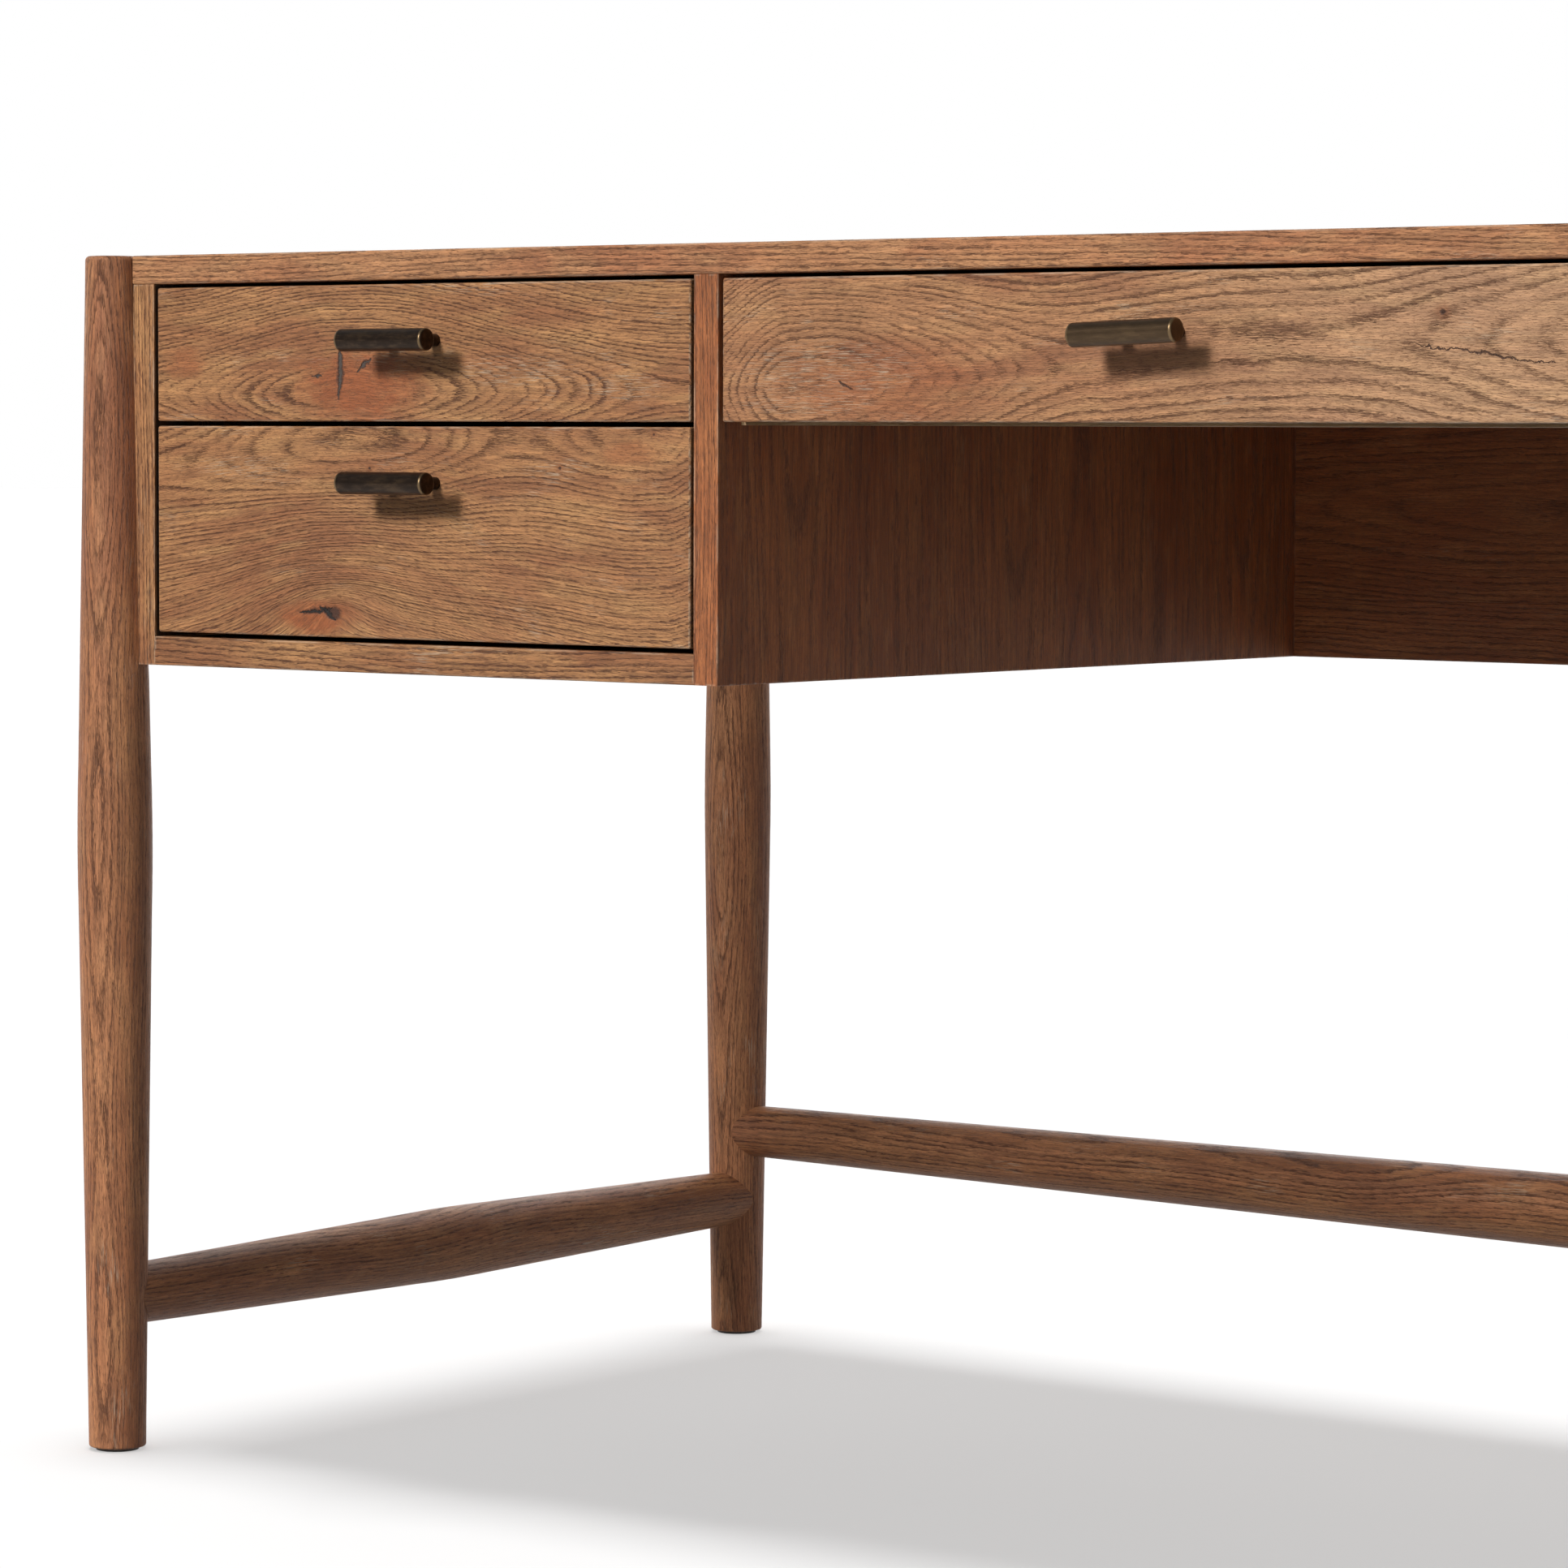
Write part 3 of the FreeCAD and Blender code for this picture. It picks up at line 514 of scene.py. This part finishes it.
# The figure of each drawer front. Along and height are X and Z of the row frame.
#   pith      height of the rings' centre
#   curve     how far behind the face that centre lies, or (along, curve, along, curve) where it changes
#   ring      width of a ring, and warp how far the rings wander
#   start     where the rings begin to climb by slope
#   steps     (along, along, rings added between the two)
#   knots     (along, height, reach along, reach across, push on the rings, and the core's radius if it shows)
#   halos     (along, height, reach along, reach across, share)
#   cracks    (along, height, end along, end height, width)
#   limed     (along, height, reach along, reach across)
#   pale      (along, along, share of bleaching reached between the two)
FRONTS = {
    "left_upper": {
        "pith": 687.0, "curve": 22.0, "ring": 2.3, "warp": 9.0, "seed": 1.0,
        "steps": ((-800.0, -622.0, -9.0), (-604.0, -330.0, 14.0)),
        "knots": ((-612.0, 696.0, 26.0, 14.0, 5.0),),
        "halos": ((-600.0, 692.0, 66.0, 27.0, 0.95), (-752.0, 706.0, 22.0, 12.0, 0.6)),
        "cracks": (
            (-616.0, 713.0, -618.0, 683.0, 2.2),
            (-603.0, 700.0, -590.0, 708.0, 1.1),
            (-640.0, 697.5, -632.0, 698.5, 0.5),
        ),
        "crack_colour": (74, 64, 58),
        "limed": ((-470.0, 700.0, 60.0, 12.0), (-385.0, 690.0, 40.0, 10.0)),
    },
    "left_lower": {
        "pith": 641.0, "curve": 60.0, "ring": 2.2, "warp": 8.0, "seed": 2.0, "start": -592.0, "slope": 0.09,
        "steps": (
            (-800.0, -606.0, -5.0),
            (-578.0, -475.0, 4.0),
            (-465.0, -372.0, -3.0),
            (-352.0, -331.0, 1.5),
        ),
        "knots": (
            (-622.0, 540.0, 105.0, 80.0, 56.0),
            (-622.0, 549.0, 24.0, 12.0, 16.0, 7.5),
            (-548.0, 524.0, 42.0, 26.0, 16.0),
            (-362.0, 661.5, 12.0, 8.0, 1.5, 1.1),
            (-592.0, 640.0, 12.0, 8.0, 1.0, 1.5),
            (-436.0, 641.0, 10.0, 6.0, 1.0, 1.6),
        ),
        "halos": ((-636.0, 546.0, 40.0, 13.0, 0.95), (-380.0, 650.0, 30.0, 9.0, 0.5)),
        "cracks": ((-652.0, 549.0, -624.0, 551.0, 1.4), (-634.0, 553.0, -621.0, 545.0, 1.7)),
        "crack_colour": (30, 22, 18),
        "limed": ((-700.0, 640.0, 50.0, 9.0),),
    },
    "centre": {
        "pith": 689.0, "curve": (-200.0, 35.0, 120.0, 90.0), "ring": 2.9, "warp": 11.0, "seed": 3.0,
        "start": -245.0, "slope": 0.045,
        "steps": ((-345.0, -258.0, -10.0), (-250.0, -40.0, 10.0), (110.0, 330.0, -4.0)),
        "knots": ((75.0, 650.0, 85.0, 42.0, 20.0), (190.0, 729.0, 22.0, 12.0, 3.0, 2.6)),
        "halos": ((-190.0, 690.0, 90.0, 30.0, 0.5),),
        "cracks": ((170.0, 712.0, 260.0, 701.0, 0.5), (-222.0, 693.0, -212.0, 688.0, 0.7)),
        "crack_colour": (84, 56, 40),
        "limed": ((-230.0, 700.0, 80.0, 20.0), (-245.0, 680.0, 60.0, 9.0)),
        "pale": (-120.0, 240.0, 0.32),
    },
    "right_upper": {
        "pith": 712.0, "curve": 30.0, "ring": 2.5, "warp": 10.0, "seed": 4.0, "start": 470.0, "slope": 0.02,
        "steps": ((331.0, 460.0, -7.0), (480.0, 779.0, 12.0)),
        "knots": ((655.0, 700.0, 30.0, 16.0, 6.0, 2.4),),
    },
    "right_lower": {
        "pith": 585.0, "curve": 55.0, "ring": 2.3, "warp": 9.0, "seed": 5.0, "start": 500.0, "slope": -0.04,
        "steps": ((331.0, 500.0, -4.0), (520.0, 640.0, 4.0), (660.0, 779.0, -4.0)),
        "knots": ((610.0, 640.0, 60.0, 34.0, -22.0), (610.0, 640.0, 20.0, 10.0, -12.0, 3.6)),
        "halos": ((600.0, 640.0, 40.0, 13.0, 0.6),),
        "cracks": ((598.0, 640.0, 622.0, 639.0, 0.9),),
    },
}

CENTRE_LOOK = {
    "red": (154, 102, 68),
    "tan": (174, 124, 84),
    "gold": (190, 142, 96),
    "ring_share": 0.32,
    "line_share": 0.55,
}
LEG_LOOK = {
    "red": (158, 100, 66),
    "tan": (176, 118, 78),
    "gold": (190, 134, 90),
    "line_share": 0.62,
    "wear": 0.15,
}
STRETCHER_LOOK = {
    "red": (152, 98, 64),
    "tan": (172, 116, 76),
    "gold": (186, 132, 88),
    "wear": 0.0,
}
TOP_LOOK = {
    "red": (164, 108, 72),
    "tan": (178, 126, 85),
    "gold": (190, 141, 97),
    "line_share": 0.5,
    "ring_share": 0.3,
}
# Darker, redder oak with fainter grain for the boards inside the kneehole: painted shade, with the warm tint
# of bounced light painted in.
KNEEHOLE_PAINTED_SHADE_LOOK = {
    "red": (152, 86, 48),
    "tan": (166, 100, 58),
    "gold": (180, 116, 70),
    "ring_share": 0.2,
    "lime_share": 0.15,
    "line_share": 0.5,
}
BIRCH_LOOK = {
    "red": (186, 150, 108),
    "tan": (204, 170, 126),
    "gold": (214, 184, 142),
    "line": (160, 120, 82),
    "pore": (150, 112, 78),
    "lime": (226, 206, 176),
    "line_share": 0.4,
    "pore_share": 0.3,
    "lime_share": 0.1,
    "wear": 0.1,
    "relief": 0.12,
}


def dress_fronts():
    for key, figure in FRONTS.items():
        node = f"drawer_{key}_front"
        figure = dict(figure, face=face_of(node, "Y"))
        look = CENTRE_LOOK if key == "centre" else {}
        dress(node, wood("oak_" + node, "XZY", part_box(node), figure, **look))


def turned(box, axes, ring_offset, curve, seed):
    """The figure of a turned piece, whose rings' centre lies ring_offset beside its axis."""
    low, high = box
    middle = {axis: (a + b) / 2 * MM for axis, a, b in zip("XYZ", low, high)}
    return {
        "pith": middle[axes[1]] + ring_offset, "face": middle[axes[2]], "curve": curve,
        "ring": 2.6, "warp": 6.0, "seed": seed, "drift": (420.0, 22.0),
    }


def dress_legs():
    axes = "ZXY"
    for number, node in enumerate(("leg_front_left", "leg_rear_left", "leg_front_right", "leg_rear_right")):
        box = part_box(node)
        figure = turned(box, axes, 12.0 - 7 * number, 38.0, 11.0 + number)
        dress(node, wood("oak_" + node, axes, box, figure, **LEG_LOOK))


def dress_stretchers():
    stretchers = (("stretcher_left", "YXZ"), ("stretcher_right", "YXZ"), ("stretcher_back", "XYZ"))
    for number, (node, axes) in enumerate(stretchers):
        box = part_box(node)
        figure = turned(box, axes, 12.0, 36.0, 21.0 + number)
        dress(node, wood("oak_" + node, axes, box, figure, **STRETCHER_LOOK))


def dress_case():
    """The boards glued up from planks: each node with its axes, plank width, seed and look."""
    plain = {"ring": 2.6, "warp": 9.0, "curve": 60.0, "drift": (900.0, 22.0), "pith": 0.0}
    boards = (
        ("tabletop", "XYZ", 117.0, 31.0, TOP_LOOK),
        ("outer_side_left", "ZYX", 108.0, 32.0, {}),
        ("outer_side_right", "ZYX", 108.0, 33.0, {}),
        ("inner_side_left", "ZYX", 96.0, 34.0, KNEEHOLE_PAINTED_SHADE_LOOK),
        ("inner_side_right", "ZYX", 96.0, 35.0, KNEEHOLE_PAINTED_SHADE_LOOK),
        ("pedestal_bottom_left", "XYZ", 112.0, 36.0, {}),
        ("pedestal_bottom_right", "XYZ", 112.0, 37.0, {}),
        ("back_panel", "XZY", 92.0, 38.0, KNEEHOLE_PAINTED_SHADE_LOOK),
    )
    for node, axes, width, seed, look in boards:
        figure = dict(plain, plank=width, seed=seed, face=face_of(node, axes[2]))
        # The case sides get painted shade in the gap beside their drawers.
        if "side" in node:
            drawers_on_right = node.startswith("outer") == node.endswith("left")
            figure.update(reveal=face_of(node, "X", far=drawers_on_right), front=face_of(node, "Y"))
        dress(node, wood("oak_" + node, axes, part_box(node), figure, wear=0.25, **look))


def inside_grain(node):
    """Axes of a drawer box's board, a runner, the dust panel or the blocks, and None for any other piece."""
    if node.startswith("runners_"):
        return "YZX"
    if node in ("dust_panel", "corner_blocks"):
        return "XYZ"
    if not node.startswith("drawer_"):
        return None
    if node.rsplit("_", 2)[-2] == "side":
        return "YZX"
    return {"back": "XZY", "bottom": "XYZ"}.get(node.rsplit("_", 1)[-1])


def dress_inside():
    """Drawer boxes, runners, plywood and blocks, which show when a drawer is open or from below."""
    plain = {"pith": 400.0, "ring": 3.2, "warp": 10.0, "curve": 60.0, "drift": (300.0, 12.0)}
    for number, node in enumerate(sorted(NODES)):
        axes = inside_grain(node)
        if axes:
            figure = dict(plain, seed=50.0 + number)
            dress(node, wood("birch_" + node, axes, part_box(node), figure, **BIRCH_LOOK))


def dress_hardware():
    plated = steel("plated_steel", (176, 176, 178), (138, 136, 132), 0.32)
    black = steel("black_steel", (34, 31, 30), (22, 20, 19), 0.6)
    dress("leg_bolts", black)
    dress("floor_glides", nylon("moulded_nylon"))
    for key in FRONTS:
        dress(f"drawer_{key}_screws", plated)
        node = f"drawer_{key}_pull"
        rubbed = 0.34 if key == "centre" else 0.02
        dress(node, bronze("bronze_" + node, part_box(node), rubbed))


# ---------------------------------------------------------------- studio

FLOOR_RADIUS = 60.0
FLOOR_SIDES = 96


def make_floor():
    """A broad pale disc with a faint mottle."""
    mesh = bpy.data.meshes.new("floor")
    turns = [i * 2 * math.pi / FLOOR_SIDES for i in range(FLOOR_SIDES)]
    rim = [(FLOOR_RADIUS * math.cos(turn), FLOOR_RADIUS * math.sin(turn), 0.0) for turn in turns]
    mesh.from_pydata(rim, [], [list(range(FLOOR_SIDES))])
    floor = bpy.data.objects.new("floor", mesh)
    bpy.context.scene.collection.objects.link(floor)
    g = Graph("floor_paper")
    place = g.place()
    spots = g.noise(place["X"] * 0.004, place["Y"] * 0.004, 0.0, detail=3.0)
    colour = g.mix(spots, (0.80, 0.80, 0.80, 1.0), (0.81, 0.81, 0.81, 1.0))
    mesh.materials.append(g.surface(colour, 0.9, spots, 0.01, Specular_IOR_Level=0.0))
    floor.visible_diffuse = False
    return floor


def make_world():
    """White to the eye, and to what it lights a soft grey room, dim in front and below, brighter behind."""
    world = bpy.data.worlds.new("studio")
    bpy.context.scene.world = world
    world.use_nodes = True
    tree = world.node_tree
    tree.nodes.clear()

    def new(kind):
        return tree.nodes.new("ShaderNode" + kind)

    link = tree.links.new
    parts = new("SeparateXYZ")
    link(new("TexCoord").outputs["Generated"], parts.inputs[0])
    lean = new("Math")
    lean.operation = "MULTIPLY_ADD"
    lean.inputs[1].default_value = 0.4
    link(parts.outputs["Z"], lean.inputs[0])
    link(parts.outputs["Y"], lean.inputs[2])
    ramp = new("MapRange")
    ramp.interpolation_type = "SMOOTHSTEP"
    for key, value in (("From Min", -0.6), ("From Max", 1.1), ("To Min", 0.05), ("To Max", 0.38)):
        ramp.inputs[key].default_value = value
    link(lean.outputs[0], ramp.inputs["Value"])

    room = new("Background")
    white = new("Background")
    for background in (room, white):
        background.inputs["Color"].default_value = (1.0, 1.0, 1.0, 1.0)
    white.inputs["Strength"].default_value = 1.0
    link(ramp.outputs[0], room.inputs["Strength"])
    choose = new("MixShader")
    link(new("LightPath").outputs["Is Camera Ray"], choose.inputs[0])
    link(room.outputs[0], choose.inputs[1])
    link(white.outputs[0], choose.inputs[2])
    link(choose.outputs[0], new("OutputWorld").inputs["Surface"])


def group(name, objects):
    made = bpy.data.collections.new(name)
    for item in objects:
        made.objects.link(item)
    return made


def make_light(name, strength, heading, receivers, size, shadow=True):
    """A sun that lights only its receivers. heading points towards it, and size is its width in degrees."""
    data = bpy.data.lights.new(name, "SUN")
    data.energy = strength
    data.use_shadow = shadow
    data.angle = math.radians(size)
    light = bpy.data.objects.new(name, data)
    bpy.context.scene.collection.objects.link(light)
    light.rotation_mode = "QUATERNION"
    light.rotation_quaternion = (-Vector(heading)).to_track_quat("-Z", "Y")
    light.light_linking.receiver_collection = receivers
    return light


KEY_HEADING = (-0.14, -1.0, 0.54)
OVERHEAD = (0.0, 0.0, 1.0)
RIGHT_END = ("outer_side_right", "leg_front_right", "leg_rear_right", "stretcher_right")


def make_desk_lights():
    """A key from the front left, weaker on what stands far from it, and weak fills from all round."""
    desk = group("lit_desk", NODES.values())
    far = [o for name, o in NODES.items() if name.startswith("leg_rear") or name == "stretcher_back"]
    near = [o for o in NODES.values() if o not in far]
    right = [NODES[name] for name in RIGHT_END]
    make_light("key", 3.30, KEY_HEADING, group("lit_by_key", near), size=15.0)
    make_light("far_key", 1.50, KEY_HEADING, group("lit_by_far_key", far), size=12.0)
    make_light("high_fill", 0.20, (0.75, -1.0, 0.60), desk, size=60.0)
    make_light("side_fill", 0.08, (1.0, -0.30, 0.10), desk, size=40.0)
    make_light("front_fill", 0.28, (0.35, -1.0, 0.02), desk, size=50.0)
    make_light("left_light", 0.60, (-1.0, 0.15, 0.30), desk, size=40.0)
    make_light("right_light", 1.20, (1.0, 0.05, 0.40), group("lit_on_right", right), size=40.0)
    make_light("back_light", 1.40, (-0.5, 1.0, 0.35), desk, size=40.0)


def make_floor_lights(floor):
    """One light that the desk shades, apart from its thin stretchers, and one that lifts the shade's grey."""
    ground = group("lit_floor", [floor])
    shaders = [o for name, o in NODES.items() if not name.startswith("stretcher")]
    sky = make_light("sky", 1.50, OVERHEAD, ground, size=13.0)
    sky.light_linking.blocker_collection = group("shades_floor", shaders)
    make_light("floor_fill", 1.92, OVERHEAD, ground, size=1.0, shadow=False)


CAMERA_PLACE = (1.8725, -2.9994, 0.66518)
CAMERA_YAW = math.radians(38.503)
CAMERA_PITCH = math.radians(-3.484)
CAMERA_ROLL = math.radians(0.157)
LENS = 133.94
SENSOR = 36.0


def make_camera():
    """Looks along yaw, to the left of +Y, and pitch, up from the horizon, rolled about that line."""
    data = bpy.data.cameras.new("camera")
    data.lens = LENS
    data.sensor_width = SENSOR
    data.clip_start = 0.1
    data.clip_end = 200.0
    camera = bpy.data.objects.new("camera", data)
    level = math.cos(CAMERA_PITCH)
    ahead = Vector((-math.sin(CAMERA_YAW) * level, math.cos(CAMERA_YAW) * level, math.sin(CAMERA_PITCH)))
    side = Vector((math.cos(CAMERA_YAW), math.sin(CAMERA_YAW), 0.0))
    up = side.cross(ahead)
    right = math.cos(CAMERA_ROLL) * side + math.sin(CAMERA_ROLL) * up
    above = math.cos(CAMERA_ROLL) * up - math.sin(CAMERA_ROLL) * side
    turn = Matrix((right, above, -ahead)).transposed().to_4x4()
    camera.matrix_world = Matrix.Translation(CAMERA_PLACE) @ turn
    bpy.context.scene.collection.objects.link(camera)
    bpy.context.scene.camera = camera


dress_fronts()
dress_legs()
dress_stretchers()
dress_case()
dress_inside()
dress_hardware()
make_world()
make_desk_lights()
make_floor_lights(make_floor())
make_camera()
bpy.context.scene.view_settings.view_transform = "Standard"
